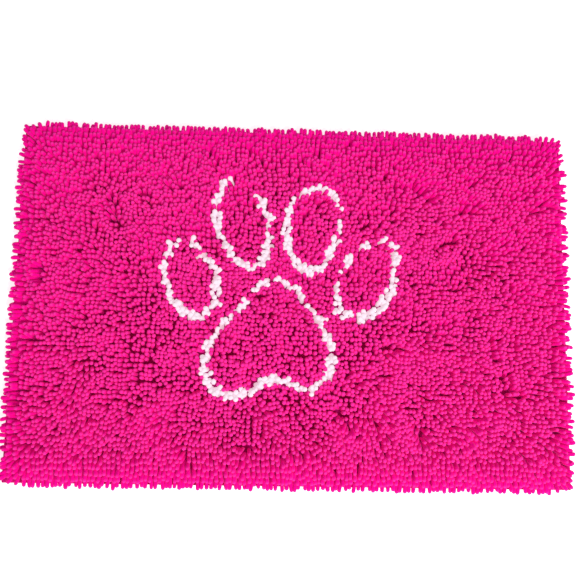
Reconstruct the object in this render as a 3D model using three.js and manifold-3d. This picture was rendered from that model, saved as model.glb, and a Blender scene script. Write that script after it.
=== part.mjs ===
// A chenille pet doormat, 31 x 20 in, with a white paw outlined in its pink noodle pile.
// Millimetres, +Z up. Origin: the middle of the underside. +X is the long way, +Y points to the toes.
import * as THREE from "three";
import { mergeVertices } from "three/addons/utils/BufferGeometryUtils.js";
import Module from "manifold-3d";

const wasm = await Module();
wasm.setup();

// Driving dimensions
const matLength = 787; // the cut cloth with its hems folded, along X
const matWidth = 508; // the same, along Y
const clearance = 0.3; // between pieces that touch
const backingThickness = 1.2; // the grip sheet itself
const clothThickness = 0.8; // the ground cloth that holds the noodles
const hemThickness = 0.7; // folded binding cloth
const hemWidth = 12; // how far a hem reaches in from the edge, above and below
const seamInset = 3; // from the hem's inner edge to its stitching
const threadWidth = 0.9;
const threadHeight = 0.4;
const pileTop = 24; // the noodle tips above the floor
const overhang = 8; // how far the edge noodles lean out past the hem
const skirtLift = 1.5; // the hanging noodles' lowest point above the floor
const shoulderRadius = 9; // the pile's rounded outer shoulder
const edgeBand = 36; // the outermost rows, which lean outwards, measured in from the edge
const outlineWidth = 10; // the white noodle line, one to two noodles wide
const pawMargin = 18; // pile between the paw and the joints of the field around it
const pawBack = 82; // from the mat's back edge to the furthest toe line
const pawFront = 124; // from the front edge to the heel pad's nearest line
const pawShift = -33; // the paw's own middle, along X from the mat's

// The paw as drawn, about its own middle; it is then sized to lie between the two borders above.
// A tilt is anticlockwise, and a taper above 0 narrows a toe's far end.
const toes = {
  outer_left: { x: -114, y: 33, halfWidth: 34, halfLength: 56, tilt: 19, taper: 0 },
  inner_left: { x: -41, y: 112, halfWidth: 37, halfLength: 61, tilt: 16, taper: 0 },
  inner_right: { x: 59, y: 104, halfWidth: 37, halfLength: 60, tilt: -7, taper: -0.2 },
  outer_right: { x: 137, y: 37, halfWidth: 36, halfLength: 60, tilt: -24, taper: 0.12 },
};
const heelPoints = [
  [0, 29], [23, 25], [47, 4], [63, -18], [79, -47], [89, -72], [87, -96], [74, -116], [47, -122],
  [21, -113], [-5, -111], [-29, -124], [-55, -130], [-78, -117], [-90, -94], [-86, -68],
  [-74, -44], [-52, -18], [-31, 5], [-19, 21],
];
const toeSides = 40; // straight steps round a toe
const heelSides = 72;
const shoulderSteps = 4;

// Heights that follow, from the floor up
const floor = 0;
const backingLow = hemThickness + clearance;
const backingTop = backingLow + backingThickness;
const clothLow = backingTop + clearance;
const clothTop = clothLow + clothThickness;
const hemTop = clothTop + clearance + hemThickness;
const threadLow = hemTop + clearance;
const pileOverHem = threadLow + threadHeight + clearance;
const pileOverCloth = clothTop + clearance;

const pink = { color: 0xe61d83, roughness: 0.95, metalness: 0 };
const white = { color: 0xfaf3f5, roughness: 0.95, metalness: 0 };
const hemPink = { color: 0xd81b78, roughness: 0.85, metalness: 0 };
const backingGrey = { color: 0xc9c6c2, roughness: 0.7, metalness: 0 };

const mat = new THREE.Group();

function addMesh(name, geometry, finish) {
  const mesh = new THREE.Mesh(geometry, new THREE.MeshStandardMaterial(finish));
  mesh.name = name;
  mat.add(mesh);
  return mesh;
}

function asSolid(geometry) {
  const bare = geometry.clone();
  bare.deleteAttribute("normal");
  bare.deleteAttribute("uv");
  const merged = mergeVertices(bare);
  const vertProperties = merged.attributes.position.array;
  const triVerts = new Uint32Array(merged.index.array);
  return new wasm.Manifold(new wasm.Mesh({ numProp: 3, vertProperties, triVerts }));
}

function asGeometry(solid) {
  const { vertProperties, triVerts } = solid.getMesh();
  const geometry = new THREE.BufferGeometry();
  geometry.setAttribute("position", new THREE.BufferAttribute(vertProperties, 3));
  geometry.setIndex(new THREE.BufferAttribute(triVerts, 1));
  geometry.computeVertexNormals();
  return geometry;
}

// A plain slab between two heights
function slab(width, depth, low, high) {
  return new THREE.BoxGeometry(width, depth, high - low).translate(0, 0, (low + high) / 2);
}

// The four sides, each with its length, its distance from the middle and its turn
const sides = {
  front: { length: matLength, reach: matWidth / 2, turn: 0 },
  right: { length: matWidth, reach: matLength / 2, turn: Math.PI / 2 },
  back: { length: matLength, reach: matWidth / 2, turn: Math.PI },
  left: { length: matWidth, reach: matLength / 2, turn: -Math.PI / 2 },
};

// A section drawn as (distance in from the edge, height), run along one side and mitred at both ends
function mitredStrip(side, section) {
  const strip = new THREE.ExtrudeGeometry(new THREE.Shape(section), { depth: 1, bevelEnabled: false });
  const place = strip.attributes.position;
  const mitreGap = clearance * Math.SQRT2;
  for (let i = 0; i < place.count; i += 1) {
    const inward = place.getX(i);
    const height = place.getY(i);
    const length = side.length - 2 * inward - mitreGap;
    place.setXYZ(i, (place.getZ(i) - 0.5) * length, inward - side.reach, height);
  }
  strip.rotateZ(side.turn);
  strip.computeVertexNormals();
  return strip;
}

function hemSection() {
  const lip = hemTop - hemThickness;
  return [
    new THREE.Vector2(0, floor),
    new THREE.Vector2(hemWidth, floor),
    new THREE.Vector2(hemWidth, hemThickness),
    new THREE.Vector2(hemThickness, hemThickness),
    new THREE.Vector2(hemThickness, lip),
    new THREE.Vector2(hemWidth, lip),
    new THREE.Vector2(hemWidth, hemTop),
    new THREE.Vector2(0, hemTop),
  ];
}

function threadSection() {
  const inner = hemWidth - seamInset;
  return [
    new THREE.Vector2(inner - threadWidth, threadLow),
    new THREE.Vector2(inner, threadLow),
    new THREE.Vector2(inner, threadLow + threadHeight),
    new THREE.Vector2(inner - threadWidth, threadLow + threadHeight),
  ];
}

// The edge noodles: over the cloth, over the hem, and hanging outside it
function edgeSection() {
  const stepIn = hemWidth + clearance;
  const points = [
    new THREE.Vector2(-overhang, skirtLift),
    new THREE.Vector2(-clearance, skirtLift),
    new THREE.Vector2(-clearance, pileOverHem),
    new THREE.Vector2(stepIn, pileOverHem),
    new THREE.Vector2(stepIn, pileOverCloth),
    new THREE.Vector2(edgeBand, pileOverCloth),
    new THREE.Vector2(edgeBand, pileTop),
  ];
  for (let i = 0; i <= shoulderSteps; i += 1) {
    const angle = (Math.PI / 2) * (1 + i / shoulderSteps);
    const inward = shoulderRadius * (1 + Math.cos(angle)) - overhang;
    points.push(new THREE.Vector2(inward, pileTop - shoulderRadius * (1 - Math.sin(angle))));
  }
  return points;
}

// Between the hems the grip sheet, with its raised dots, comes down to the floor
function addLayers() {
  const inside = 2 * (hemThickness + clearance);
  const length = matLength - inside;
  const width = matWidth - inside;
  const betweenHems = 2 * (hemWidth + clearance);
  const sheet = asSolid(slab(length, width, backingLow, backingTop));
  const grip = asSolid(slab(matLength - betweenHems, matWidth - betweenHems, floor, backingTop));
  addMesh("nonslip_backing", asGeometry(sheet.add(grip)), backingGrey);
  addMesh("ground_cloth", slab(length, width, clothLow, clothTop), hemPink);
}

function addEdges() {
  for (const [name, side] of Object.entries(sides)) {
    addMesh(`hem_${name}`, mitredStrip(side, hemSection()), hemPink);
    addMesh(`hem_thread_${name}`, mitredStrip(side, threadSection()), hemPink);
    addMesh(`pile_edge_${name}`, mitredStrip(side, edgeSection()), pink);
  }
}

function toeCurve(toe) {
  const centre = new THREE.Vector2(toe.x, toe.y);
  return Array.from({ length: toeSides }, (_, i) => {
    const angle = (2 * Math.PI * i) / toeSides;
    const along = Math.sin(angle);
    const across = toe.halfWidth * Math.cos(angle) * (1 - toe.taper * along);
    return new THREE.Vector2(toe.x + across, toe.y + toe.halfLength * along)
      .rotateAround(centre, THREE.MathUtils.degToRad(toe.tilt));
  });
}

function heelCurve() {
  const knots = heelPoints.map(([x, y]) => new THREE.Vector3(x, y, 0)).reverse();
  const spline = new THREE.CatmullRomCurve3(knots, true, "centripetal");
  return spline.getSpacedPoints(heelSides).slice(0, heelSides).map((p) => new THREE.Vector2(p.x, p.y));
}

// An anticlockwise closed line moved outwards by a distance
function offset(line, distance) {
  return line.map((point, i) => {
    const before = line[(i + line.length - 1) % line.length];
    const after = line[(i + 1) % line.length];
    const outward = new THREE.Vector2(after.y - before.y, before.x - after.x).normalize();
    return point.clone().addScaledVector(outward, distance);
  });
}

function pilePrism(outline, holes) {
  const shape = new THREE.Shape(outline);
  for (const hole of holes) shape.holes.push(new THREE.Path(hole));
  const prism = new THREE.ExtrudeGeometry(shape, { depth: pileTop - pileOverCloth, bevelEnabled: false });
  return prism.translate(0, 0, pileOverCloth);
}

function rectangle(left, right, front, back) {
  return [
    new THREE.Vector2(left, front),
    new THREE.Vector2(right, front),
    new THREE.Vector2(right, back),
    new THREE.Vector2(left, back),
  ];
}

// The white lines, and the pink noodles that each of them encloses
function addPaw(lines) {
  const half = outlineWidth / 2;
  for (const [name, line] of Object.entries(lines)) {
    addMesh(`outline_${name}`, pilePrism(offset(line, half), [offset(line, -half)]), white);
    addMesh(`pile_${name}`, pilePrism(offset(line, -half - clearance), []), pink);
  }
}

// The pink field: one piece round the paw and four that fill up to the edge rows
function addField(lines) {
  const cuts = Object.values(lines).map((line) => offset(line, outlineWidth / 2 + clearance));
  const paw = new THREE.Box2().setFromPoints(cuts.flat()).expandByScalar(pawMargin);
  const x = matLength / 2 - edgeBand - clearance;
  const y = matWidth / 2 - edgeBand - clearance;
  const { min, max } = paw;
  addMesh("pile_round_paw", pilePrism(rectangle(min.x, max.x, min.y, max.y), cuts), pink);
  addMesh("pile_left", pilePrism(rectangle(-x, min.x - clearance, -y, y), []), pink);
  addMesh("pile_right", pilePrism(rectangle(max.x + clearance, x, -y, y), []), pink);
  addMesh("pile_front", pilePrism(rectangle(min.x, max.x, -y, min.y - clearance), []), pink);
  addMesh("pile_back", pilePrism(rectangle(min.x, max.x, max.y + clearance, y), []), pink);
}

// The drawn lines, sized and placed between the borders
function placedPaw() {
  const drawn = { heel_pad: heelCurve() };
  for (const [name, toe] of Object.entries(toes)) drawn[`toe_${name}`] = toeCurve(toe);
  const { min, max } = new THREE.Box2().setFromPoints(Object.values(drawn).flat());
  const size = (matWidth - pawBack - pawFront) / (max.y - min.y);
  const lift = matWidth / 2 - pawBack - size * max.y;
  for (const point of Object.values(drawn).flat()) {
    point.multiplyScalar(size);
    point.x += pawShift;
    point.y += lift;
  }
  return drawn;
}

const pawLines = placedPaw();

addLayers();
addEdges();
addPaw(pawLines);
addField(pawLines);

export default mat;
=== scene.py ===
# %% [markdown]
# # A chenille pet doormat with a white paw
# A flat mat of soft chenille fingers, called noodles here, tufted through a ground cloth, with a grip
# backing under it and a binding cloth folded round its four edges. The CAD model comes first and is never
# changed: it gives every place and size. The looks are then built round it, one step per cell.

# %% Load the frame
import bpy
import math
import numpy as np
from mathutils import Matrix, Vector


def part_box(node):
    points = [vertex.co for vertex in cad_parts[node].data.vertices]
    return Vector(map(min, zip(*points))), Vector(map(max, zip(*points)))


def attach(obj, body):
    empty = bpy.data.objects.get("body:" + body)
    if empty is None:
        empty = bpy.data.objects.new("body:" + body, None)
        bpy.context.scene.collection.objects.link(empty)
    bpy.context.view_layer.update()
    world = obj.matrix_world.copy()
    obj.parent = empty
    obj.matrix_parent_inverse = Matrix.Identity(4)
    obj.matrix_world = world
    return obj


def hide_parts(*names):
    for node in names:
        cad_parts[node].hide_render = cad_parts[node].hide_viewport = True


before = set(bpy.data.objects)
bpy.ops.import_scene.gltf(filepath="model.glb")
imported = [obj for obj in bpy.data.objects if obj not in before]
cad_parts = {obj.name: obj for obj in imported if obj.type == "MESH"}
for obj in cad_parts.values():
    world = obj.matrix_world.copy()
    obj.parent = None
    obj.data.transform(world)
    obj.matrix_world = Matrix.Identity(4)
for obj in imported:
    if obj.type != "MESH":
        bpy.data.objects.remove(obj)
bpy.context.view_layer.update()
MM = 0.001

# %% [markdown]
# ## Sizes that everything else follows
# The cloth's edge is the outside of the hems, and the noodles are rooted in the top of the ground cloth,
# just inside the hems' inner edge. All of it is read from the CAD nodes.

# %% Places from the frame
hem_low, hem_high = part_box("hem_front")
HALF_LENGTH = -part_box("hem_left")[0].x
HALF_WIDTH = -hem_low.y
HEM_WIDTH = hem_high.y - hem_low.y
HEM_TOP = hem_high.z
CLOTH_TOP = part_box("ground_cloth")[1].z
PILE_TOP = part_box("pile_left")[1].z
print(f"cloth {2 * HALF_LENGTH / MM:.0f} x {2 * HALF_WIDTH / MM:.0f} mm, root height {CLOTH_TOP / MM:.1f} mm")

# %% [markdown]
# ## Camera
# The mat is seen from nearly straight above, from a little in front of it and a little to the left, with a
# normal lens. The camera is made first, because the light and the noodles' lie are judged through it.

# %% Camera
CAMERA_PLACE = (-0.0516, -0.1588, 1.143)
# its turn about x, y and z, in degrees
CAMERA_TURN = (8.9, -2.5, 0.95)


def add_camera():
    data = bpy.data.cameras.new("camera")
    data.lens = 50
    data.sensor_width = 36
    data.clip_start = 0.01
    camera = bpy.data.objects.new("camera", data)
    bpy.context.scene.collection.objects.link(camera)
    camera.location = CAMERA_PLACE
    camera.rotation_euler = [math.radians(angle) for angle in CAMERA_TURN]
    bpy.context.scene.camera = camera
    return camera


camera = add_camera()
print("camera height in mm:", round(camera.location.z / MM))

# %% [markdown]
# ## Floor and light
# A plain pale floor, a white sky for the soft all-round light, and one large soft lamp above the front
# right that gives the noodles a lit side. The view transform is Standard, so the strong pink stays as
# strong as it is on the real yarn.

# %% Floor and light
def add_floor():
    bpy.ops.mesh.primitive_plane_add(size=40, location=(0, 0, 0))
    floor = bpy.context.object
    floor.name = "floor"
    material = bpy.data.materials.new("studio_floor")
    material.use_nodes = True
    shader = material.node_tree.nodes["Principled BSDF"]
    shader.inputs["Base Color"].default_value = (0.90, 0.90, 0.90, 1)
    shader.inputs["Roughness"].default_value = 0.9
    shader.inputs["Specular IOR Level"].default_value = 0.1
    shader.inputs["Emission Color"].default_value = (1, 1, 1, 1)
    shader.inputs["Emission Strength"].default_value = 0.6
    floor.data.materials.append(material)
    return floor


def add_lamp(name, size, power, place):
    data = bpy.data.lights.new(name, "AREA")
    data.shape = "DISK"
    data.size = size
    data.energy = power
    data.color = (1.0, 0.97, 1.04)
    lamp = bpy.data.objects.new(name, data)
    bpy.context.scene.collection.objects.link(lamp)
    lamp.location = place
    lamp.rotation_euler = (-Vector(place)).to_track_quat("-Z", "Y").to_euler()
    return lamp


def set_sky(strength):
    world = bpy.data.worlds.new("studio")
    world.use_nodes = True
    background = world.node_tree.nodes["Background"]
    background.inputs["Color"].default_value = (1.0, 1.0, 1.0, 1)
    background.inputs["Strength"].default_value = strength
    bpy.context.scene.world = world


bpy.ops.object.select_all(action="DESELECT")
add_floor()
add_lamp("key", 0.9, 53, (0.8, -1.35, 1.75))
set_sky(0.468)
bpy.context.scene.view_settings.view_transform = "Standard"

# %% [markdown]
# ## One noodle
# A noodle is a round finger of chenille yarn with a soft, full tip and a slightly narrower root. It could
# be a capsule, but then it would have more faces than a thing repeated thousands of times should. A
# seven-sided disc is extruded up ring by ring instead, and its last face is poked to a fan, which makes the
# round tip out of seven triangles.

# %% Model one noodle
NOODLE_LENGTH = 23 * MM
NOODLE_RADIUS = 2.95 * MM
NOODLE_SIDES = 7
# height along the noodle, and radius there, as shares of its length and radius
NOODLE_RINGS = [(0.0, 0.80), (0.28, 0.96), (0.55, 1.0), (0.80, 1.01), (0.915, 0.91), (0.972, 0.58)]


def extrude_by(*move):
    bpy.ops.mesh.extrude_region_move(TRANSFORM_OT_translate={"value": move})


def model_noodle():
    bpy.ops.object.select_all(action="DESELECT")
    first_radius = NOODLE_RINGS[0][1] * NOODLE_RADIUS
    bpy.ops.mesh.primitive_circle_add(vertices=NOODLE_SIDES, radius=first_radius, fill_type="NGON")
    noodle = bpy.context.object
    bpy.ops.object.mode_set(mode="EDIT")
    bpy.ops.mesh.select_all(action="SELECT")
    for (low, low_radius), (high, high_radius) in zip(NOODLE_RINGS, NOODLE_RINGS[1:]):
        extrude_by(0, 0, (high - low) * NOODLE_LENGTH)
        grow = high_radius / low_radius
        bpy.ops.transform.resize(value=(grow, grow, 1))
    bpy.ops.mesh.poke(offset=(1 - NOODLE_RINGS[-1][0]) * NOODLE_LENGTH)
    bpy.ops.mesh.select_all(action="SELECT")
    bpy.ops.mesh.normals_make_consistent(inside=False)
    bpy.ops.object.mode_set(mode="OBJECT")
    return noodle


def mesh_arrays(mesh):
    """Corners, and for each face its loop start, its size and its corner numbers."""
    corners = np.empty((len(mesh.vertices), 3), np.float32)
    starts, sizes = np.empty((2, len(mesh.polygons)), np.int32)
    loops = np.empty(len(mesh.loops), np.int32)
    mesh.vertices.foreach_get("co", corners.reshape(-1))
    mesh.polygons.foreach_get("loop_start", starts)
    mesh.polygons.foreach_get("loop_total", sizes)
    mesh.loops.foreach_get("vertex_index", loops)
    return corners, starts, sizes, loops


def mesh_of_copies(name, made, template):
    """One mesh of many copies of the template. Their corners come as an array of copy, corner and axis."""
    corners, starts, _, loops = template
    count = len(made)
    step = np.arange(count)[:, None]
    mesh = bpy.data.meshes.new(name)
    mesh.vertices.add(count * len(corners))
    mesh.vertices.foreach_set("co", made.reshape(-1).astype(np.float32))
    mesh.loops.add(count * len(loops))
    mesh.loops.foreach_set("vertex_index", (loops + step * len(corners)).reshape(-1).astype(np.int32))
    mesh.polygons.add(count * len(starts))
    mesh.polygons.foreach_set("loop_start", (starts + step * len(loops)).reshape(-1).astype(np.int32))
    mesh.polygons.foreach_set("use_smooth", np.ones(count * len(starts), bool))
    return mesh


def piece_of_mesh(mesh):
    mesh.update(calc_edges=True)
    mesh.validate()
    piece = bpy.data.objects.new(mesh.name, mesh)
    bpy.context.scene.collection.objects.link(piece)
    return piece


noodle = model_noodle()
NOODLE = mesh_arrays(noodle.data)
bpy.data.objects.remove(noodle)
print("one noodle:", len(NOODLE[0]), "corners,", len(NOODLE[1]), "faces")

# %% [markdown]
# ## Where the noodles are rooted
# They are tufted in straight rows through the ground cloth, hardly further apart than a noodle is thick.
# Each row begins just inside the hem. The rows are neat along the edges and wander a little further in.

# %% Root grid
PITCH = 6.3 * MM
ROOT_INSET = HEM_WIDTH + 1.2 * MM
# how far a root is off its place in the grid, near the edges and in the middle
ROOT_WANDER = (0.6 * MM, 1.2 * MM)
# how far the rows wander, over what reach and from which seed, and how wide the neat border is
GRID_WANDER = (1.8 * MM, 34 * MM, 3)
NEAT_BORDER = 90 * MM
# smooth noise is a sum of this many waves, each that much shorter or longer than its reach
NOISE_WAVES = 28
NOISE_STEPS = (0.5, 1.4)
rng = np.random.default_rng(31)


def smooth_noise(points, reach, seed):
    """Two smooth random values at each point, about 1 at most, that change over the given reach."""
    draw = np.random.default_rng(seed)
    total = np.zeros(points.shape)
    for _ in range(NOISE_WAVES):
        turn = draw.uniform(0, 2 * math.pi)
        step = draw.uniform(*NOISE_STEPS) / reach
        phase = (points[..., 0] * math.cos(turn) + points[..., 1] * math.sin(turn)) * step
        total += np.stack([np.sin(phase + draw.uniform(0, 6.3)), np.sin(phase + draw.uniform(0, 6.3))], -1)
    return total / math.sqrt(NOISE_WAVES)


columns = int(2 * (HALF_LENGTH - ROOT_INSET) / PITCH) + 1
rows = int(2 * (HALF_WIDTH - ROOT_INSET) / PITCH) + 1
root_x = np.linspace(-HALF_LENGTH + ROOT_INSET, HALF_LENGTH - ROOT_INSET, columns)
root_y = np.linspace(-HALF_WIDTH + ROOT_INSET, HALF_WIDTH - ROOT_INSET, rows)
roots = np.stack(np.meshgrid(root_x, root_y), axis=-1)
inset = (np.array([HALF_LENGTH, HALF_WIDTH]) - np.abs(roots)).min(-1)
inward = (inset / NEAT_BORDER).clip(0, 1)[..., None]
roots += inward * GRID_WANDER[0] * smooth_noise(roots, *GRID_WANDER[1:])
roots += rng.normal(0, 1, roots.shape) * np.interp(inward, (0, 1), ROOT_WANDER)
print(f"{rows} rows of {columns} noodles")

# %% [markdown]
# Which of them are white, and which node each belongs to, is read from the CAD model. The white line isn't
# even, though: neighbours fall over it, or its own noodles fall outwards. So it is given places where it is
# broader or broken.

# %% The node of each noodle
PILE_NODES = sorted(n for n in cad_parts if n.startswith(("pile_", "outline_")))


def inside_top(node, points):
    """Which of the points, seen from above, lie on the node's top face."""
    corners, starts, _, loops = mesh_arrays(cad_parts[node].data)
    inside = np.zeros(len(points), bool)
    for start in starts:
        triangle = corners[loops[start : start + 3]]
        if triangle[:, 2].min() < PILE_TOP - 0.1 * MM:
            continue
        a, b, c = triangle[:, :2]
        sign = [np.cross(q - p, points - p) for p, q in ((a, b), (b, c), (c, a))]
        inside |= (sign[0] >= 0) & (sign[1] >= 0) & (sign[2] >= 0)
    return inside


def sort_by_node(points):
    """The number of each point's pile node; a point over a joint goes to the node just beside it."""
    owner = np.full(len(points), -1)
    for nudge in ((0, 0), (0.4, 0), (0, 0.4), (-0.4, 0), (0, -0.4)):
        for number, node in enumerate(PILE_NODES):
            owner[(owner < 0) & inside_top(node, points + np.array(nudge) * MM)] = number
    return owner


# how much further a white line reaches than its node, in mm: at its foot, its sides and its top
LINE_SPREAD = {"outline_heel": (0.0, -0.6, -1.4), "outline_toe": (0.2, -0.6, -1.8)}
# places where it is broader or broken: place, reach and how much further it reaches there, in mm
LINE_TOUCHES = [
    # outer left toe
    (-190, 56, 6, -8), (-156, 92, 5, -8), (-114, 60, 14, 0.7), (-112, 25, 18, 1.5), (-140, -25, 20, 1.4),
    # inner left toe
    (-80, 166, 8, -8), (-67, 169, 8, -8), (-55, 158, 7, -8),
    (-35, 103, 6, -8), (-62, 61, 5, -6), (-110, 134, 5, -6),
    (-101, 161, 12, 3), (-44, 147, 9, 1.6), (-41, 134, 20, 1.1), (-38, 79, 18, 0.9), (-52, 56, 10, 1.1),
    # inner right toe
    (4, 157, 5, -6), (65, 128, 5, -7), (67, 98, 8, -8),
    (-3, 150, 9, 1.1), (26, 160, 14, 1.1), (20, 50, 20, 1.1), (46, 62, 12, 0.9),
    # outer right toe
    (114, 88, 6, -8), (147, 48, 5, -7), (65, 37, 8, -8), (84, 67, 5, -7), (92, 75, 5, -7), (86, -18, 5, -5),
    (129, 85, 10, 1.1), (147, 60, 9, 0.7), (142, 30, 10, 1.1), (128, -2, 16, 0.7), (108, -22, 14, 0.9),
    (72, -8, 16, 1.4), (101, 82, 9, 0.7),
    # heel pad
    (-22, 28, 4, -6), (17, 6, 5, -7), (27, -13, 5, -6),
    (34, -30, 5, -5), (45, -120, 5, -7), (-8, -125, 6, -7),
    (-73, -139, 5, -6), (-120, -125, 6, -8), (-125, -71, 5, -8), (-79, -18, 5, -8), (-62, 13, 7, -8),
    (-127, -105, 16, 0.9), (-95, -137, 20, 1.8),
    (-56, -127, 14, 1.1), (20, -131, 16, 1.9), (55, -112, 12, 1.8),
    (-35, 31, 8, 2), (-12, 27, 7, 2), (55, -86, 14, 1.4), (50, -61, 14, 1.4), (41, -42, 10, 1.1),
]


def spread_lines(points, owner):
    """Gives the white lines their uneven width: broad at the foot of each pad, and broken at its top."""
    ring = [(math.cos(turn), math.sin(turn)) for turn in np.linspace(0, 2 * math.pi, 8, endpoint=False)]
    for number, node in enumerate(PILE_NODES):
        kind = node.rsplit("_", 2)[0] if "toe" in node else node.rsplit("_", 1)[0]
        if kind not in LINE_SPREAD:
            continue
        low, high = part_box(node)
        height = (points[:, 1] - low.y) / (high.y - low.y)
        spread = np.interp(height, (0.25, 0.5, 0.95), LINE_SPREAD[kind]) * MM
        for x, y, reach, more in LINE_TOUCHES:
            far = ((points - np.array([x, y]) * MM) ** 2).sum(-1) / (reach * MM) ** 2
            spread += more * MM * np.exp(-(far**2))
        reached = np.stack([inside_top(node, points + spread[:, None] * np.array(way)) for way in ring])
        owner[(spread > 0) & reached.any(0)] = number
        lost = (spread < 0) & (owner == number) & ~reached.all(0)
        owner[lost] = PILE_NODES.index("pile_round_paw")
    return owner


owner = spread_lines(roots.reshape(-1, 2), sort_by_node(roots.reshape(-1, 2))).reshape(rows, columns)
white = np.isin(owner, [number for number, node in enumerate(PILE_NODES) if node.startswith("outline_")])
print(f"noodles without a node: {(owner < 0).sum()}, white ones: {white.sum()}")
for number, node in enumerate(PILE_NODES):
    print(f"  {node}: {(owner == number).sum()}")

# %% [markdown]
# ## How the pile is combed
# Nobody brushes such a mat. Its noodles lie as hands and feet left them: outwards along the edges, upright
# round the paw, and in drifts and whorls elsewhere. The lie is a field of leans: an outward lean that grows
# towards the edges, a wander from smooth noise, and the strokes of a hand. A lean of 0 stands up and a lean
# of 1 lies flat.

# %% The lie of the pile
# place and reach in mm, then the lean to the right and the lean to the back
STROKES = [
    # the back left quarter
    (-375, 175, 22, -0.55, 0.55), (-330, 160, 24, -0.40, 0.50), (-290, 190, 24, 0.20, 0.50),
    (-240, 195, 24, 0.05, 0.50), (-200, 215, 22, 0.0, 0.50), (-142, 215, 20, 0.12, 0.50),
    (-120, 182, 13, -0.40, 0.15), (-72, 228, 16, 0.15, 0.35), (-30, 232, 20, -0.30, 0.50),
    (-330, 115, 20, -0.55, 0.22), (-270, 125, 14, -0.30, 0.25), (-375, 100, 24, -0.50, 0.05),
    (-300, 60, 24, -0.38, 0.0), (-240, 75, 18, 0.0, 0.05), (-230, 30, 24, -0.18, -0.10),
    (-170, 140, 26, -0.08, 0.18), (-200, 100, 18, -0.05, 0.10), (-365, 40, 20, -0.55, 0.15),
    # the back right quarter
    (-2, 235, 16, -0.20, 0.50), (45, 232, 16, 0.20, 0.50), (78, 222, 18, 0.0, 0.30),
    (130, 225, 22, 0.05, 0.48), (165, 212, 14, 0.30, 0.55), (190, 180, 16, 0.52, 0.40),
    (215, 240, 18, 0.18, 0.55), (240, 200, 20, 0.35, 0.35), (285, 240, 20, 0.28, 0.50),
    (290, 195, 22, 0.28, 0.33), (255, 148, 14, 0.52, 0.20), (250, 125, 12, 0.30, -0.10),
    (170, 110, 14, 0.10, -0.15), (215, 76, 14, -0.20, -0.38), (290, 95, 22, 0.46, 0.20),
    (350, 150, 20, 0.52, 0.25), (365, 90, 22, 0.52, 0.0), (220, 18, 20, 0.08, -0.42),
    (272, 35, 18, 0.16, -0.32), (330, 15, 18, 0.32, 0.46), (385, 20, 20, 0.62, -0.10),
    (110, 165, 22, 0.05, 0.25), (330, 200, 24, 0.30, 0.30), (120, 130, 18, 0.05, 0.10),
    # the front left quarter
    (-385, -45, 20, -0.70, -0.10), (-370, -68, 16, -0.45, -0.42), (-330, -82, 22, -0.36, -0.40),
    (-378, -130, 22, -0.32, -0.10), (-328, -132, 24, -0.05, -0.32), (-268, -125, 12, -0.32, 0.12),
    (-230, -85, 20, -0.36, -0.14), (-270, -58, 18, -0.32, 0.10), (-300, -20, 22, -0.42, 0.0),
    (-220, -20, 18, -0.08, 0.0), (-240, -170, 24, -0.25, -0.35), (-300, -180, 22, -0.22, -0.30),
    (-372, -208, 22, -0.42, -0.48), (-200, -218, 22, 0.0, -0.50), (-235, -228, 16, -0.22, -0.55),
    (-120, -222, 16, 0.30, -0.48), (-85, -180, 13, 0.58, -0.16), (-40, -166, 17, 0.36, -0.46),
    (0, -180, 20, 0.02, -0.05), (-150, -178, 16, -0.05, -0.38), (-130, -142, 18, 0.0, -0.26),
    (-182, -140, 22, -0.20, -0.30),
    # the front right quarter
    (30, -165, 26, 0.02, -0.05), (120, -142, 20, 0.48, -0.32), (135, -110, 16, 0.45, -0.20),
    (172, -125, 13, -0.15, -0.35), (232, -112, 12, 0.25, -0.30), (112, -66, 14, 0.35, 0.10),
    (180, -82, 20, 0.30, -0.22), (225, -48, 16, 0.05, 0.0), (242, -82, 12, 0.25, -0.52),
    (285, -62, 11, 0.55, 0.0), (262, -128, 20, 0.0, -0.55), (312, -120, 15, 0.22, 0.35),
    (168, -178, 18, 0.08, -0.55), (250, -200, 30, 0.0, -0.50), (90, -215, 26, 0.0, -0.42),
    (330, -222, 16, 0.30, -0.50), (370, -235, 16, 0.62, -0.55), (380, -150, 24, 0.36, -0.05),
    (340, -80, 22, 0.22, -0.06), (330, -175, 20, 0.15, -0.20), (180, -220, 20, 0.0, -0.50),
    # inside and round the paw
    (-33, -60, 55, 0.04, -0.06), (60, -10, 20, 0.12, 0.10), (-75, 110, 28, 0.0, 0.20),
    (25, 105, 28, 0.10, 0.14), (-147, 35, 24, 0.10, -0.15), (104, 35, 24, 0.10, 0.12),
    (-30, 45, 20, 0.05, -0.10), (90, -130, 16, 0.10, -0.15), (70, -60, 20, 0.08, 0.05),
]
# lines that the noodles on both sides lean away from: two ends and the reach, in mm
PARTINGS = [
    (-262, 138, -254, 110, 11), (-215, 150, -203, 140, 9), (-352, 40, -348, 30, 9), (-372, -58, -360, -62, 8),
    (-126, 210, -116, 200, 9), (-80, 216, -66, 214, 10),
    (-146, -205, -140, -222, 9), (-62, -204, -62, -210, 9),
    (66, -154, 74, -162, 10), (28, 224, 32, 214, 10), (174, 166, 192, 156, 9), (240, 136, 266, 142, 9),
    (204, 82, 226, 94, 9), (284, -50, 282, -72, 7), (176, -168, 180, -184, 8), (300, -104, 304, -124, 8),
    (344, 142, 360, 148, 8), (150, -62, 128, -66, 8),
]
PARTING_LEAN = 1.0
# how much a stroke outweighs the lie that it finds, and how much of its lean it leaves
STROKE_FORCE = 2.8
STROKE_LEAN = 0.88
# the outward lean of the whole mat: what grows steeply towards the edges, and what grows evenly
MAT_LEAN = (0.15, 0.08)
# how far from the middle the pile starts to lie outwards, and lies fully outwards, and its lean there
# at the front and the back
BAND = (120 * MM, 185 * MM)
BAND_LEAN = (0.42, 0.30)
# how far in from the sides, and from the front and back, the edge noodles lie outwards
EDGE_REACH = (13 * MM, 31 * MM)
# their lean at the left and the front, and at the right and the back
EDGE_LEAN = ((0.93, 0.90), (0.85, 0.86))
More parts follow.
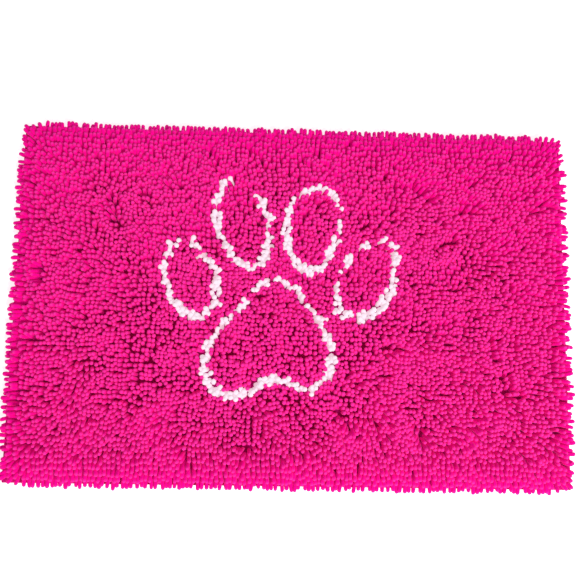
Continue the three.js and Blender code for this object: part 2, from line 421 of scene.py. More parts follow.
# how much less they lean at the corners
CORNER_CALM = 0.45
# how far the tips of the edge noodles hang down, at the sides, and at the front and back
EDGE_DROOP = (0.85, 1.0)
MOST_LEAN = 0.97
# the wide and the narrow drifts: the lean that they add, their width and their seed
DRIFTS = [(0.16, 30 * MM, 5), (0.19, 13 * MM, 6)]
# how much of the narrow drifts is left at the edges
EDGE_DRIFT = 0.3
# how much each noodle's lean differs from its neighbours': in the middle, at the sides, at the front
# and back, and white
FINGER_LEAN = (0.12, 0.18, 0.06, 0.27)


def edge_share(points):
    """How much a root belongs to the side edges, and to the front and back edges, from 0 to 1."""
    inset = np.array([HALF_LENGTH, HALF_WIDTH]) - np.abs(points) - ROOT_INSET
    return np.exp(-((np.maximum(inset, 0) / np.array(EDGE_REACH)) ** 2))


def comb(points):
    half = np.array([HALF_LENGTH, HALF_WIDTH])
    lean = (points / half) ** 3 * MAT_LEAN[0] + points / half * MAT_LEAN[1]
    band = ((np.abs(points[..., 1]) - BAND[0]) / (BAND[1] - BAND[0])).clip(0, 1)
    lean[..., 1] += np.where(points[..., 1] < 0, -BAND_LEAN[0], BAND_LEAN[1]) * band
    lean += DRIFTS[0][0] * smooth_noise(points, *DRIFTS[0][1:])
    weight = np.ones(points.shape[:-1])
    for x, y, reach, right, back in STROKES:
        far = ((points - np.array([x, y]) * MM) ** 2).sum(-1) / (reach * MM) ** 2
        pull = STROKE_FORCE * np.exp(-far)
        lean += pull[..., None] * np.array([right, back]) * STROKE_LEAN
        weight += pull
    lean /= weight[..., None]
    unkempt = np.interp(inward, (0, 1), (EDGE_DRIFT, 1))
    lean += DRIFTS[1][0] * unkempt * smooth_noise(points, *DRIFTS[1][1:])
    for x1, y1, x2, y2, reach in PARTINGS:
        start, end = np.array([x1, y1]) * MM, np.array([x2, y2]) * MM
        share = ((points - start) @ (end - start) / ((end - start) @ (end - start))).clip(0, 1)
        away = (points - start - share[..., None] * (end - start)) / (reach * MM)
        lean += PARTING_LEAN * away * np.exp(-(away**2).sum(-1))[..., None]
    edge = edge_share(points)
    calm = 1 - CORNER_CALM * edge.prod(-1)[..., None]
    outward = np.where(points < 0, -np.array(EDGE_LEAN[0]), np.array(EDGE_LEAN[1]))
    lean = lean * (1 - edge.max(-1)[..., None]) + outward * edge * calm
    middle, side, end, white_lean = FINGER_LEAN
    unruly = middle + (side - middle) * edge[..., :1] + (end - middle) * edge[..., 1:]
    unruly = np.where(white[..., None], white_lean, unruly)
    lean += rng.normal(0, 1, points.shape) * unruly
    size = np.linalg.norm(lean, axis=-1, keepdims=True)
    return lean * np.minimum(1, MOST_LEAN / np.maximum(size, 1e-6))


lean = comb(roots)
print("mean lean", np.linalg.norm(lean, axis=-1).mean().round(2))

# %% [markdown]
# ## Laying the noodles against each other
# Nine thousand noodles can't be placed by hand without running into each other, and cloth simulation has no
# idea of them. So each is a short chain of links from its root, and the chains are settled together: every
# pass pushes apart the links that are too close, lets them sink on what they lie on, and bends each chain a
# little towards its combed lie at its own length. That is position-based dynamics, done for the whole pile
# at once with numpy.

# %% Settle the pile
LINKS = 5
# how close two noodles' middles may come: soft yarn gives a little
SOFT_DIAMETER = 5.45 * MM
PASSES = 110
# the close pairs are looked up every so many passes, with some room for what moves meanwhile
PAIR_EVERY = 9
LOOK_AHEAD = 2.2 * MM
# a noodle can only meet those that are rooted this many places away or nearer
GRID_REACH = 5
# how much of the lean each link has, from the upright root to the tip, and how much later a weak lean starts
LINK_LEAN = np.array([0.25, 0.60, 0.90, 1.0, 1.0])
LATE_BEND = 1.15
# in each pass: how much of an overlap is pushed out, how far a link sinks, and how strongly it is drawn
# to its combed lie and to go on straight
PUSH = 0.55
SINK = 0.06 * MM
HOLD_LIE = 0.10
HOLD_STRAIGHT = 0.16
# how high a lying noodle's middle is, as a share of its radius
LYING_HEIGHT = 0.85
# noodles differ less in length along the front and back
LENGTH_WANDER = np.where(edge_share(roots)[..., 1] > 0.3, 0.045, 0.085)
lengths = NOODLE_LENGTH * (1 + rng.normal(0, 1, (rows, columns)).clip(-2.2, 2.2) * LENGTH_WANDER)
link = lengths / LINKS


def combed_chains():
    """Each noodle's links when nothing is in its way: upright at the root, then leaning as combed."""
    chains = np.zeros((rows, columns, LINKS + 1, 3))
    chains[..., 0, :2] = roots
    chains[..., 0, 2] = CLOTH_TOP
    size = np.linalg.norm(lean, axis=-1, keepdims=True)
    droop = (edge_share(roots) ** 3 * np.array(EDGE_DROOP)).max(-1)
    for k in range(LINKS):
        flat = lean * LINK_LEAN[k] ** (LATE_BEND - size)
        up = np.sqrt(1 - (flat**2).sum(-1)) - droop * k / (LINKS - 1)
        way = np.concatenate([flat, up[..., None]], -1)
        way /= np.linalg.norm(way, axis=-1, keepdims=True)
        chains[..., k + 1, :] = chains[..., k, :] + way * link[..., None]
    return chains


def close_pairs(chains, reach):
    """The links of different noodles that are closer than reach, as two lists of link numbers."""
    number = np.arange(rows * columns * LINKS).reshape(rows, columns, LINKS)
    links = chains[:, :, 1:].astype(np.float32)
    first, second = [], []
    steps = [(i, j) for i in range(GRID_REACH + 1) for j in range(-GRID_REACH, GRID_REACH + 1)]
    for i, j in steps:
        if i == 0 and j <= 0:
            continue
        here = (slice(0, rows - i), slice(max(0, -j), columns - max(0, j)))
        there = (slice(i, rows), slice(max(0, j), columns + min(0, j)))
        apart = links[here][:, :, :, None] - links[there][:, :, None]
        near = (apart**2).sum(-1) < reach**2
        a, b, c, d = np.nonzero(near)
        first.append(number[here][a, b, c])
        second.append(number[there][a, b, d])
    return np.concatenate(first), np.concatenate(second)


def push_apart(links, first, second):
    flat = links.reshape(-1, 3)
    apart = flat[first] - flat[second]
    distance = np.sqrt((apart**2).sum(-1)) + 1e-9
    lack = np.maximum(SOFT_DIAMETER - distance, 0)
    touching = lack > 0
    push = (apart * (0.5 * PUSH * lack / distance)[:, None])[touching]
    total = np.zeros_like(flat)
    for axis in range(3):
        total[:, axis] += np.bincount(first[touching], push[:, axis], len(flat))
        total[:, axis] -= np.bincount(second[touching], push[:, axis], len(flat))
    return (flat + total).reshape(links.shape), lack.max()


def resting_height(links):
    """What a link lies on: the cloth, the hem, or outside them the floor."""
    inset = np.minimum(HALF_LENGTH - np.abs(links[..., 0]), HALF_WIDTH - np.abs(links[..., 1]))
    under = np.where(inset > HEM_WIDTH, CLOTH_TOP, HEM_TOP)
    return np.where(inset < 0, 0.0, under) + LYING_HEIGHT * NOODLE_RADIUS


def settle():
    target = combed_chains()
    wish = np.diff(target, axis=2) / link[..., None, None]
    chains = target.copy()
    for step in range(PASSES):
        if step % PAIR_EVERY == 0:
            first, second = close_pairs(chains, SOFT_DIAMETER + LOOK_AHEAD)
        links, worst = push_apart(chains[:, :, 1:], first, second)
        links[..., 2] -= SINK
        links[..., 2] = np.maximum(links[..., 2], resting_height(links))
        chains[:, :, 1:] = links
        before = np.zeros_like(chains[:, :, 0]) + np.array([0, 0, 1.0])
        for k in range(LINKS):
            way = chains[:, :, k + 1] - chains[:, :, k]
            way /= np.linalg.norm(way, axis=-1, keepdims=True) + 1e-9
            way = way + HOLD_LIE * wish[:, :, k] + HOLD_STRAIGHT * before
            way /= np.linalg.norm(way, axis=-1, keepdims=True)
            chains[:, :, k + 1] = chains[:, :, k] + way * link[..., None]
            before = way
    print(f"settled in {PASSES} passes, {len(first)} close pairs, worst overlap {worst / MM:.1f} mm")
    return chains


chains = settle()

# %% [markdown]
# ## Bending the noodle along its chain
# The modelled noodle is straight. A Curve modifier could bend one copy, but not nine thousand in reasonable
# time, so numpy does the same: a smooth line runs through each chain's points, a frame is carried along it
# without twisting, and each ring of the noodle is moved to its share of the line. Noodles and rings differ
# a little in thickness, as soft yarn does.

# %% Lines and frames
RING_WANDER = 0.045
THICKNESS_WANDER = 0.05


def unit(v):
    return v / (np.linalg.norm(v, axis=-1, keepdims=True) + 1e-12)


def along_line(points, share):
    """Place and direction at a share of the smooth line through each chain's points."""
    first = 2 * points[:, :1] - points[:, 1:2]
    last = 2 * points[:, -1:] - points[:, -2:-1]
    knots = np.concatenate([first, points, last], axis=1)
    k = min(int(share * LINKS), LINKS - 1)
    t = share * LINKS - k
    a, b, c, d = (knots[:, k + i] for i in range(4))
    slope_b, slope_c = (c - a) / 2, (d - b) / 2
    place = (2 * t**3 - 3 * t**2 + 1) * b + (t**3 - 2 * t**2 + t) * slope_b
    place += (3 * t**2 - 2 * t**3) * c + (t**3 - t**2) * slope_c
    way = (6 * t**2 - 6 * t) * (b - c) + (3 * t**2 - 4 * t + 1) * slope_b + (3 * t**2 - 2 * t) * slope_c
    return place, unit(way)


def bend_noodles(points, draw, fullness):
    """All corners of the noodles that follow these chains, as one array of noodle, corner and axis."""
    corners = NOODLE[0].astype(float)
    shares = (corners[:, 2] / NOODLE_LENGTH).round(4)
    thickness = fullness * (1 + draw.normal(0, THICKNESS_WANDER, (len(points), 1)).clip(-0.12, 0.12))
    side = draw.normal(0, 1, (len(points), 3))
    made = np.empty((len(points), len(corners), 3))
    for share in sorted(set(shares)):
        place, way = along_line(points, share)
        side = unit(side - way * (side * way).sum(-1, keepdims=True))
        other = np.cross(way, side)
        ring = np.nonzero(shares == share)[0]
        swell = thickness * (1 + draw.normal(0, RING_WANDER, (len(points), len(ring))))
        right = (swell * corners[ring, 0])[..., None] * side[:, None]
        back = (swell * corners[ring, 1])[..., None] * other[:, None]
        made[:, ring] = place[:, None] + right + back
    return made


# %% [markdown]
# ## The noodles' own coordinates
# The chenille's colour changes along a noodle, from its dark root to its pale tip, which is painted shade
# towards the root and a painted highlight at the tip, and from one noodle to the next. A UV map that runs
# round and along each noodle carries the first, and a value stored on its corners, its tone, the second.

# %% Round and along
def noodle_uv():
    corners, starts, sizes, loops = NOODLE
    turn = np.arctan2(corners[:, 1], corners[:, 0]) / (2 * math.pi)
    on_axis = np.hypot(corners[:, 0], corners[:, 1]) < 1e-6
    uv = np.zeros((len(loops), 2), np.float32)
    for start, size in zip(starts, sizes):
        face = loops[start : start + size]
        rim = face[~on_axis[face]]
        middle = np.arctan2(corners[rim, 1].mean(), corners[rim, 0].mean()) / (2 * math.pi)
        around = np.where(on_axis[face], middle, turn[face])
        around += np.round(middle - around)
        uv[start : start + size, 0] = around
        uv[start : start + size, 1] = corners[face, 2] / NOODLE_LENGTH
    return uv


NOODLE_UV = noodle_uv()
print("noodle UV from", NOODLE_UV.min(0).round(2), "to", NOODLE_UV.max(0).round(2))

# %% [markdown]
# ## One piece of pile for each node
# All noodles of a node become one mesh, which stands for the plain block that the CAD model has in that
# place. The arrays are handed to Blender in one go, since nine thousand copies made one by one would take
# minutes.

# %% Make a piece of pile
def make_pile(name, points, draw, fullness):
    count = len(points)
    mesh = mesh_of_copies(name, bend_noodles(points, draw, fullness), NOODLE)
    mesh.uv_layers.new(name="yarn").data.foreach_set("uv", np.tile(NOODLE_UV, (count, 1)).reshape(-1))
    tone = mesh.attributes.new("tone", "FLOAT", "POINT")
    tone.data.foreach_set("value", np.repeat(draw.random(count), len(NOODLE[0])).astype(np.float32))
    return piece_of_mesh(mesh)


# how much fuller than the rest the white yarn is, and the pink yarn round it
FULLNESS = {"outline": 1.22, "pile_heel": 1.08, "pile_toe": 1.07, "pile_round": 1.05}
all_chains = chains.reshape(-1, LINKS + 1, 3)
pile_pieces = {}
for number, node in enumerate(PILE_NODES):
    draw = np.random.default_rng(100 + number)
    fullness = next((share for start, share in FULLNESS.items() if node.startswith(start)), 1.0)
    pile_pieces[node] = make_pile(node + "_noodles", all_chains[owner.reshape(-1) == number], draw, fullness)
faces = sum(len(piece.data.loops) - 2 * len(piece.data.polygons) for piece in pile_pieces.values())
print(f"{len(pile_pieces)} pieces of pile, {faces} triangles")

# %% [markdown]
# ## The chenille finish
# Chenille yarn is a core with a dense fur of short cut fibres. Real hairs would be far too many, so the fur
# is a bump of fine noise, a sheen that pales the noodle where it is seen edge-on, and a colour that is
# deeper at the root and paler at the open tip: painted shade towards the root and a painted highlight at the
# tip. The same noise makes the colour darker where the bump is low, which is painted shade. Pink and white
# yarn differ only in colour, so one shader group serves both.

# %% Chenille shader group
def new_group(name, inputs, outputs):
    group = bpy.data.node_groups.new(name, "ShaderNodeTree")
    for kind, label, value in inputs:
        socket = group.interface.new_socket(label, in_out="INPUT", socket_type=kind)
        socket.default_value = value
    for kind, label in outputs:
        group.interface.new_socket(label, in_out="OUTPUT", socket_type=kind)
    return group, group.nodes.new("NodeGroupInput"), group.nodes.new("NodeGroupOutput")


def add_node(tree, kind, settings=None, **inputs):
    """A node with its settings made and its inputs set to values or linked to sockets."""
    node = tree.nodes.new(kind)
    for key, value in (settings or {}).items():
        setattr(node, key, value)
    for key, value in inputs.items():
        socket = node.inputs[int(key[1:])] if key[0] == "i" and key[1:].isdigit() else node.inputs[key]
        if isinstance(value, bpy.types.NodeSocket):
            tree.links.new(value, socket)
        else:
            socket.default_value = value
    return node


def math_node(tree, operation, first, second=0.0):
    return add_node(tree, "ShaderNodeMath", {"operation": operation}, i0=first, i1=second).outputs[0]


def fade(tree, value, low, high, start=0.0, end=1.0):
    """The value smoothly mapped from low..high to start..end."""
    node = add_node(tree, "ShaderNodeMapRange", {"interpolation_type": "SMOOTHSTEP"}, Value=value)
    for label, number in (("From Min", low), ("From Max", high), ("To Min", start), ("To Max", end)):
        node.inputs[label].default_value = number
    return node.outputs[0]


def mix_colour(tree, share, first, second, blend="MIX"):
    settings = {"data_type": "RGBA", "blend_type": blend}
    return add_node(tree, "ShaderNodeMix", settings, i0=share, i6=first, i7=second).outputs[2]


def darken(tree, colour, light):
    grey = add_node(tree, "ShaderNodeCombineColor", i0=light, i1=light, i2=light).outputs[0]
    return mix_colour(tree, 1.0, colour, grey, "MULTIPLY")


def noise(tree, place, scale, detail):
    return add_node(tree, "ShaderNodeTexNoise", Vector=place, Scale=scale, Detail=detail).outputs[0]


def chenille_group():
    colours = [("NodeSocketColor", label, (1, 1, 1, 1)) for label in ("Root", "Yarn", "Tip")]
    outputs = [("NodeSocketColor", "Color"), ("NodeSocketFloat", "Height")]
    group, given, result = new_group("chenille_fur", colours, outputs)
    place = group.nodes.new("ShaderNodeTexCoord").outputs["Object"]
    uv = add_node(group, "ShaderNodeUVMap", {"uv_map": "yarn"})
    along = add_node(group, "ShaderNodeSeparateXYZ", Vector=uv.outputs[0]).outputs["Y"]
    tone = add_node(group, "ShaderNodeAttribute", {"attribute_name": "tone"}).outputs["Fac"]
    fur = noise(group, place, 1500.0, 2.0)
    tufts = noise(group, place, 520.0, 2.0)
    # colour along the noodle: deeper at the root, as painted shade, and paler at the tip, as a painted
    # highlight
    colour = mix_colour(group, fade(group, along, 0.15, 0.62), given.outputs["Root"], given.outputs["Yarn"])
    colour = mix_colour(group, fade(group, along, 0.80, 0.99), colour, given.outputs["Tip"])
    light = math_node(group, "MULTIPLY_ADD", tone, 0.13)
    light.node.inputs[2].default_value = 0.90
    # darker where the fur and tuft noise, which also make the bump, are low: painted shade
    light = math_node(group, "MULTIPLY", light, fade(group, fur, 0.3, 0.7, 0.88, 1.08))
    light = math_node(group, "MULTIPLY", light, fade(group, tufts, 0.3, 0.7, 0.90, 1.05))
    height = math_node(group, "ADD", math_node(group, "MULTIPLY", fur, 0.5), tufts)
    group.links.new(darken(group, colour, light), result.inputs["Color"])
    group.links.new(height, result.inputs["Height"])
    return group


CHENILLE = chenille_group()
print("group made:", CHENILLE.name)

# %% [markdown]
# ## Pink and white yarn
# The same fur in two colours. A matt base with hardly any gloss keeps the strong pink from going grey, and
# the sheen is the pale halo of loose fibres round each noodle.

# %% Yarn materials
def fabric_shader(name, roughness, sheen, sheen_tint):
    material = bpy.data.materials.new(name)
    material.use_nodes = True
    shader = material.node_tree.nodes["Principled BSDF"]
    shader.inputs["Roughness"].default_value = roughness
    shader.inputs["Specular IOR Level"].default_value = 0.03
    shader.inputs["Sheen Weight"].default_value = sheen
    shader.inputs["Sheen Roughness"].default_value = 0.45
    shader.inputs["Sheen Tint"].default_value = (*sheen_tint, 1)
    return material, material.node_tree, shader


def use_group(tree, shader, group, depth, **inputs):
    """Places a group in the material and links its colour, and its height through a Bump of that depth."""
    node = tree.nodes.new("ShaderNodeGroup")
    node.node_tree = group
    for label, value in inputs.items():
        node.inputs[label].default_value = value
    bump = add_node(tree, "ShaderNodeBump", Height=node.outputs["Height"], Strength=1.0, Distance=depth)
    tree.links.new(node.outputs["Color"], shader.inputs["Base Color"])
    tree.links.new(bump.outputs[0], shader.inputs["Normal"])
    return node


def yarn_material(name, root, yarn, tip_highlight, sheen_tint):
    material, tree, shader = fabric_shader(name, 0.9, 0.20, sheen_tint)
    use_group(tree, shader, CHENILLE, 0.45 * MM, Root=(*root, 1), Yarn=(*yarn, 1), Tip=(*tip_highlight, 1))
    return material


def finish_piece(piece, material, node):
    piece.data.materials.clear()
    piece.data.materials.append(material)
    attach(piece, "root")
    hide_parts(node)
    print(f"{piece.name}: {len(piece.data.polygons)} faces")


# root, body and tip colours; the paler tip colour is a painted highlight
pink_yarn = yarn_material(
    "pink_chenille", (0.82, 0.001, 0.30), (0.84, 0.001, 0.235), (0.90, 0.030, 0.31), (1.0, 0.45, 0.72)
)
white_yarn = yarn_material(
    "white_chenille", (0.46, 0.34, 0.41), (0.46, 0.37, 0.42), (0.46, 0.38, 0.43), (1.0, 0.90, 0.96)
)
# painted light: an emission that brightens the yarn and lifts its shade, most on the white yarn; the colour
# of the painted glow and its strength
for material, painted_glow, strength in (
    (pink_yarn, (0.74, 0.0, 0.32), 0.15),
    (white_yarn, (1.0, 0.83, 0.91), 0.56),
):
    shader = material.node_tree.nodes["Principled BSDF"]
    shader.inputs["Emission Color"].default_value = (*painted_glow, 1)
    shader.inputs["Emission Strength"].default_value = strength
for node, piece in pile_pieces.items():
    if node.startswith("outline_"):
        finish_piece(piece, white_yarn, node)
    else:
        finish_piece(piece, pink_yarn, node)

# %% [markdown]
# ## Selecting by place
# The flat pieces below are modelled with operators in edit mode. An operator acts on what is selected, and
# a script has no mouse, so the corners are selected in code by where they are.

# %% Selection and modifier helpers
def edit(piece, mode="VERT"):
    bpy.context.view_layer.objects.active = piece
    bpy.ops.object.mode_set(mode="EDIT")
    bpy.ops.mesh.select_mode(type=mode)
    bpy.ops.mesh.select_all(action="DESELECT")


def select_corners(piece, test):
    """In edit mode, selects the corners that pass the test, and the faces between them."""
    bpy.ops.object.mode_set(mode="OBJECT")
    for corner in piece.data.vertices:
        corner.select = bool(test(corner.co))
    bpy.ops.object.mode_set(mode="EDIT")


def start_piece(adder, name, **settings):
    bpy.ops.object.select_all(action="DESELECT")
    adder(**settings)
    piece = bpy.context.object
    piece.name = name
    piece.data.name = name
    return piece


def apply_place(piece):
    bpy.ops.object.select_all(action="DESELECT")
    piece.select_set(True)
    bpy.context.view_layer.objects.active = piece
    bpy.ops.object.transform_apply(location=True, rotation=True, scale=True)


def add_modifier(piece, kind, **settings):
    """Adds a modifier and applies it at once."""
    modifier = piece.modifiers.new(kind.lower(), kind)
    for key, value in settings.items():
        setattr(modifier, key, value)
    bpy.context.view_layer.objects.active = piece
    bpy.ops.object.modifier_apply(modifier=modifier.name)


def face_out(piece):
    edit(piece)
    bpy.ops.mesh.select_all(action="SELECT")
    bpy.ops.mesh.normals_make_consistent(inside=False)
    bpy.ops.object.mode_set(mode="OBJECT")

# %% [markdown]
# ## Woven cloth
# The ground cloth and the binding are the same plain weave in two thicknesses. Woven as real yarns it would
# have millions of faces, so the weave is a group that raises the cloth in two crossed sets of waves and
# darkens it where they lie low, which is painted shade, with the slow change of colour that dyed cloth has.

# %% Woven cloth group
def weave_group():
    inputs = [("NodeSocketColor", "Cloth", (1, 1, 1, 1)), ("NodeSocketFloat", "Yarns", 1200.0)]
    outputs = [("NodeSocketColor", "Color"), ("NodeSocketFloat", "Height")]
    group, given, result = new_group("plain_weave", inputs, outputs)
    place = group.nodes.new("ShaderNodeTexCoord").outputs["Object"]
    split = add_node(group, "ShaderNodeSeparateXYZ", Vector=place)
    waves = []
    for axis in ("X", "Y"):
        turns = math_node(group, "MULTIPLY", split.outputs[axis], given.outputs["Yarns"])
        waves.append(math_node(group, "SINE", math_node(group, "MULTIPLY", turns, 2 * math.pi)))
    over = math_node(group, "MULTIPLY", waves[0], waves[1])
    worn = fade(group, noise(group, place, 70.0, 4.0), 0.3, 0.7, 0.9, 1.06)
    # darker where the weave lies low: painted shade; the slow noise is the dyed cloth's own change of colour
    light = math_node(group, "MULTIPLY", fade(group, over, -1.0, 1.0, 0.78, 1.05), worn)
    group.links.new(darken(group, given.outputs["Cloth"], light), result.inputs["Color"])
    group.links.new(over, result.inputs["Height"])
    return group


WEAVE = weave_group()


def cloth_material(name, colour, yarns):
    material, tree, shader = fabric_shader(name, 0.85, 0.15, (1.0, 0.7, 0.85))
    use_group(tree, shader, WEAVE, 0.15 * MM, Cloth=(*colour, 1), Yarns=yarns)
    return material


hem_cloth = cloth_material("hem_cloth", (0.68, 0.006, 0.21), 1100.0)
base_cloth = cloth_material("ground_cloth", (0.55, 0.003, 0.22), 800.0)

# %% [markdown]
# ## Ground cloth
# The sheet that the noodles are tufted through. It is hidden nearly everywhere, and shows deep in the
# partings. A grid is added at the height of its middle, and Solidify gives it its thickness.

# %% Ground cloth
def flat_sheet(name, low, high):
    sheet = start_piece(
        bpy.ops.mesh.primitive_grid_add, name, x_subdivisions=63, y_subdivisions=41, size=1,
        location=(low + high) / 2,
    )
    sheet.scale = (high.x - low.x, high.y - low.y, 1)
    apply_place(sheet)
    add_modifier(sheet, "SOLIDIFY", thickness=high.z - low.z, offset=0)
    return sheet


ground_low, ground_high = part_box("ground_cloth")
ground = flat_sheet("ground_cloth_sheet", ground_low, ground_high)
finish_piece(ground, base_cloth, "ground_cloth")

# %% [markdown]
# ## Binding
# A strip of cloth is folded round each edge, from a lip on top of the mat to a lip under it, and mitred at
# the corners. It could be a box with a slot, but cloth is one sheet: the top lip is a long grid, its outer
# edge is extruded down and back under the mat, and Solidify gives the sheet its thickness. The stitches
# pucker it a little.

# %% Hems
CLOTH_THICKNESS = 0.7 * MM
UNDER_GAP = 0.25 * MM
PUCKER = 0.16 * MM
PUCKER_LENGTH = 11 * MM


def model_hem(name, node):
    low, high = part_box(node)
    across_x = high.y - low.y > high.x - low.x
    length = (high.y - low.y if across_x else high.x - low.x) / 2
    edge = HALF_LENGTH if across_x else HALF_WIDTH
    top = HEM_TOP - CLOTH_THICKNESS / 2
    under = UNDER_GAP + CLOTH_THICKNESS / 2
    outer = -edge + CLOTH_THICKNESS / 2
    inner = -edge + HEM_WIDTH
    # modelled as the front hem, along x, and turned to its own side at the end
    hem = start_piece(
        bpy.ops.mesh.primitive_grid_add, name, x_subdivisions=160, y_subdivisions=4, size=1,
        location=(0, (outer + inner) / 2, top),
    )
    hem.scale = (2 * length, inner - outer, 1)
    apply_place(hem)
    edit(hem)
    select_corners(hem, lambda place: place.y < outer + 0.01 * MM)
    for _ in range(3):
        extrude_by(0, 0, (under - top) / 3)
    for _ in range(3):
        extrude_by(0, (inner - outer) / 3, 0)
    bpy.ops.object.mode_set(mode="OBJECT")
    for corner in hem.data.vertices:
        corner.co.x *= (length - (corner.co.y + edge)) / length
        wave = math.sin(corner.co.x / PUCKER_LENGTH * 6.3) + math.sin(corner.co.x / PUCKER_LENGTH * 2.7 + 1)
        if corner.co.z > (top + under) / 2:
            corner.co.z += PUCKER * (wave - 2) / 2
        elif corner.co.y < outer + 0.01 * MM:
            corner.co.y += PUCKER * (wave + 2) / 2
    face_out(hem)
    add_modifier(hem, "SOLIDIFY", thickness=CLOTH_THICKNESS, offset=0)
    add_modifier(hem, "BEVEL", width=0.28 * MM, segments=2, limit_method="ANGLE")
    turns = {"front": 0, "right": 1, "back": 2, "left": 3}
    hem.rotation_euler.z = turns[node.split("_")[-1]] * math.pi / 2
    apply_place(hem)
    bpy.ops.object.shade_smooth_by_angle(angle=math.radians(40))
    return hem


SIDES = ("front", "right", "back", "left")
for side in SIDES:
    hem = model_hem(f"hem_{side}_binding", f"hem_{side}")
    finish_piece(hem, hem_cloth, f"hem_{side}")

# %% [markdown]
# ## Hem stitches
# A lockstitch shows as a row of short, plump stitches with a small gap between them, the same on both faces
# of the mat. One stitch is modelled from a six-sided prism laid along the seam, its ends extruded and drawn
# in, and it is copied along each hem.

# %% Model one stitch
STITCH_LENGTH = 3.1 * MM
STITCH_PITCH = 3.7 * MM
THREAD = 0.8 * MM


def model_stitch():
    stitch = start_piece(
        bpy.ops.mesh.primitive_cylinder_add, "stitch", vertices=6, radius=THREAD / 2,
        depth=STITCH_LENGTH * 0.62, rotation=(0, math.pi / 2, 0),
    )
    apply_place(stitch)
    for end in (-1, 1):
        edit(stitch)
        select_corners(stitch, lambda place: place.x * end > STITCH_LENGTH * 0.25)
        extrude_by(end * STITCH_LENGTH * 0.19, 0, -0.1 * MM)
        bpy.ops.transform.resize(value=(1, 0.5, 0.5))
        bpy.ops.object.mode_set(mode="OBJECT")
    face_out(stitch)
    return stitch


stitch = model_stitch()
STITCH = mesh_arrays(stitch.data)
bpy.data.objects.remove(stitch)
print("one stitch:", len(STITCH[1]), "faces")


# %% Sew the rows
def copy_to_places(name, template, places, turn=0.0, flip=None):
    """The template's copies at these places, turned about z, and upside down where flip says so."""
    moved = np.repeat(template[0][None].astype(float), len(places), axis=0)
    if flip is not None:
        moved[flip, :, 1:] *= -1
    c, s = math.cos(turn), math.sin(turn)
    moved = moved @ np.array([[c, s, 0], [-s, c, 0], [0, 0, 1]]) + np.asarray(places)[:, None]
    return piece_of_mesh(mesh_of_copies(name, moved, template))


def thread_material():
    material, tree, shader = fabric_shader("seam_thread", 0.55, 0.2, (1.0, 0.7, 0.85))
    shader.inputs["Specular IOR Level"].default_value = 0.4
    use_group(tree, shader, WEAVE, 0.1 * MM, Cloth=(0.86, 0.02, 0.27, 1), Yarns=1900.0)
    return material


seam_thread = thread_material()
for side in SIDES:
    low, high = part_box(f"hem_thread_{side}")
    along_y = side in ("left", "right")
    middle = (low + high) / 2
    reach = (high.y - low.y if along_y else high.x - low.x) / 2 - STITCH_LENGTH / 2
    steps = np.linspace(-reach, reach, int(2 * reach / STITCH_PITCH) + 1)
    top = np.full(len(steps), HEM_TOP + 0.15 * MM)
    bottom = np.full(len(steps), THREAD / 2)
    line = np.stack([steps, np.zeros(len(steps))], -1)
    if along_y:
        line = line[:, ::-1]
    line = line + np.array([middle.x if along_y else 0, 0 if along_y else middle.y])
    places = np.concatenate([np.column_stack([line, top]), np.column_stack([line, bottom])])
    flip = np.arange(len(places)) >= len(steps)
    turn = math.pi / 2 if along_y else 0
    seam = copy_to_places(f"hem_thread_{side}_stitches", STITCH, places, turn, flip)
    finish_piece(seam, seam_thread, f"hem_thread_{side}")

# %% [markdown]
# ## Grip backing
# A thin rubber-like coating under the cloth, with small raised dots that grip the floor. The sheet lies
# over the hems' lower lips, and the dots reach down to the floor. One dot is a low disc whose lower face is
# drawn in twice, and it is copied over a staggered grid.

# %% Model one dot and the sheet
DOT_WIDTH = 4.2 * MM
DOT_PITCH = 10.2 * MM
back_low, back_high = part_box("nonslip_backing")
SHEET_THICKNESS = 1.2 * MM
SHEET_LOW = back_high.z - SHEET_THICKNESS


def model_dot():
    dot = start_piece(
        bpy.ops.mesh.primitive_circle_add, "dot", vertices=8, radius=DOT_WIDTH / 2, fill_type="NGON",
        location=(0, 0, SHEET_LOW + 0.1 * MM),
    )
    apply_place(dot)
    edit(dot)
    bpy.ops.mesh.select_all(action="SELECT")
    for drop, width in ((0.55, 0.86), (0.40, 0.72)):
        extrude_by(0, 0, -drop * (SHEET_LOW + 0.1 * MM))
        bpy.ops.transform.resize(value=(width, width, 1))
    bpy.ops.mesh.poke(offset=-0.04 * MM)
    bpy.ops.object.mode_set(mode="OBJECT")
    face_out(dot)
    return dot


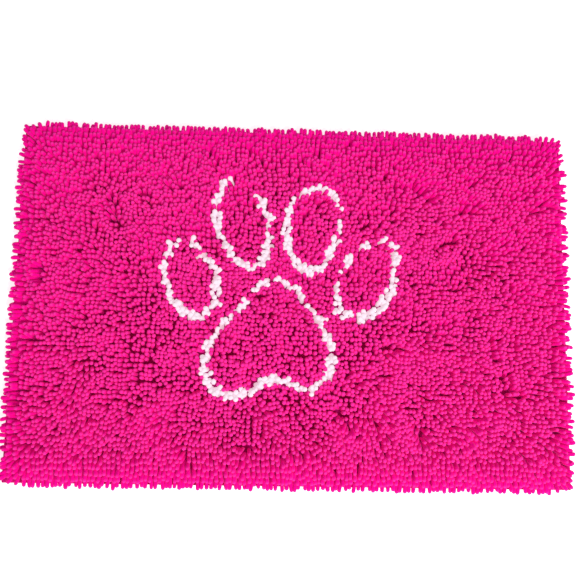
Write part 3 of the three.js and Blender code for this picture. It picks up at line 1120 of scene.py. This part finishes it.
def model_backing():
    sheet = flat_sheet("nonslip_backing_sheet", Vector((back_low.x, back_low.y, SHEET_LOW)), back_high)
    dot = model_dot()
    half_x = back_high.x - HEM_WIDTH - DOT_WIDTH
    half_y = back_high.y - HEM_WIDTH - DOT_WIDTH
    rows_of_dots = np.linspace(-half_y, half_y, int(2 * half_y / (DOT_PITCH * 0.866)) + 1)
    across = np.linspace(-half_x, half_x, int(2 * half_x / DOT_PITCH) + 1)
    shift = (across[1] - across[0]) / 4
    places = [
        (x + (shift if row % 2 else -shift), y, 0.0) for row, y in enumerate(rows_of_dots) for x in across
    ]
    dots = copy_to_places("dots", mesh_arrays(dot.data), places)
    bpy.data.objects.remove(dot)
    bpy.ops.object.select_all(action="DESELECT")
    dots.select_set(True)
    sheet.select_set(True)
    bpy.context.view_layer.objects.active = sheet
    bpy.ops.object.join()
    print("dots:", len(places))
    return sheet


# %% [markdown]
# The coating is pale, matt and slightly uneven, as poured rubber is, and darker in its pits.

# %% Backing material
def grip_material():
    material = bpy.data.materials.new("grip_backing")
    material.use_nodes = True
    tree = material.node_tree
    shader = tree.nodes["Principled BSDF"]
    place = tree.nodes.new("ShaderNodeTexCoord").outputs["Object"]
    pits = noise(tree, place, 900.0, 3.0)
    blotch = noise(tree, place, 40.0, 4.0)
    dusty = mix_colour(tree, fade(tree, blotch, 0.35, 0.7), (0.62, 0.60, 0.58, 1), (0.52, 0.50, 0.48, 1))
    # darker where the pits noise, which is also the bump's height, is low
    colour = mix_colour(tree, fade(tree, pits, 0.25, 0.45), (0.40, 0.38, 0.36, 1), dusty)
    tree.links.new(colour, shader.inputs["Base Color"])
    tree.links.new(fade(tree, pits, 0.3, 0.7, 0.75, 0.55), shader.inputs["Roughness"])
    shader.inputs["Specular IOR Level"].default_value = 0.35
    bump = add_node(tree, "ShaderNodeBump", Height=pits, Strength=0.6, Distance=0.2 * MM)
    tree.links.new(bump.outputs[0], shader.inputs["Normal"])
    return material


backing = model_backing()
finish_piece(backing, grip_material(), "nonslip_backing")
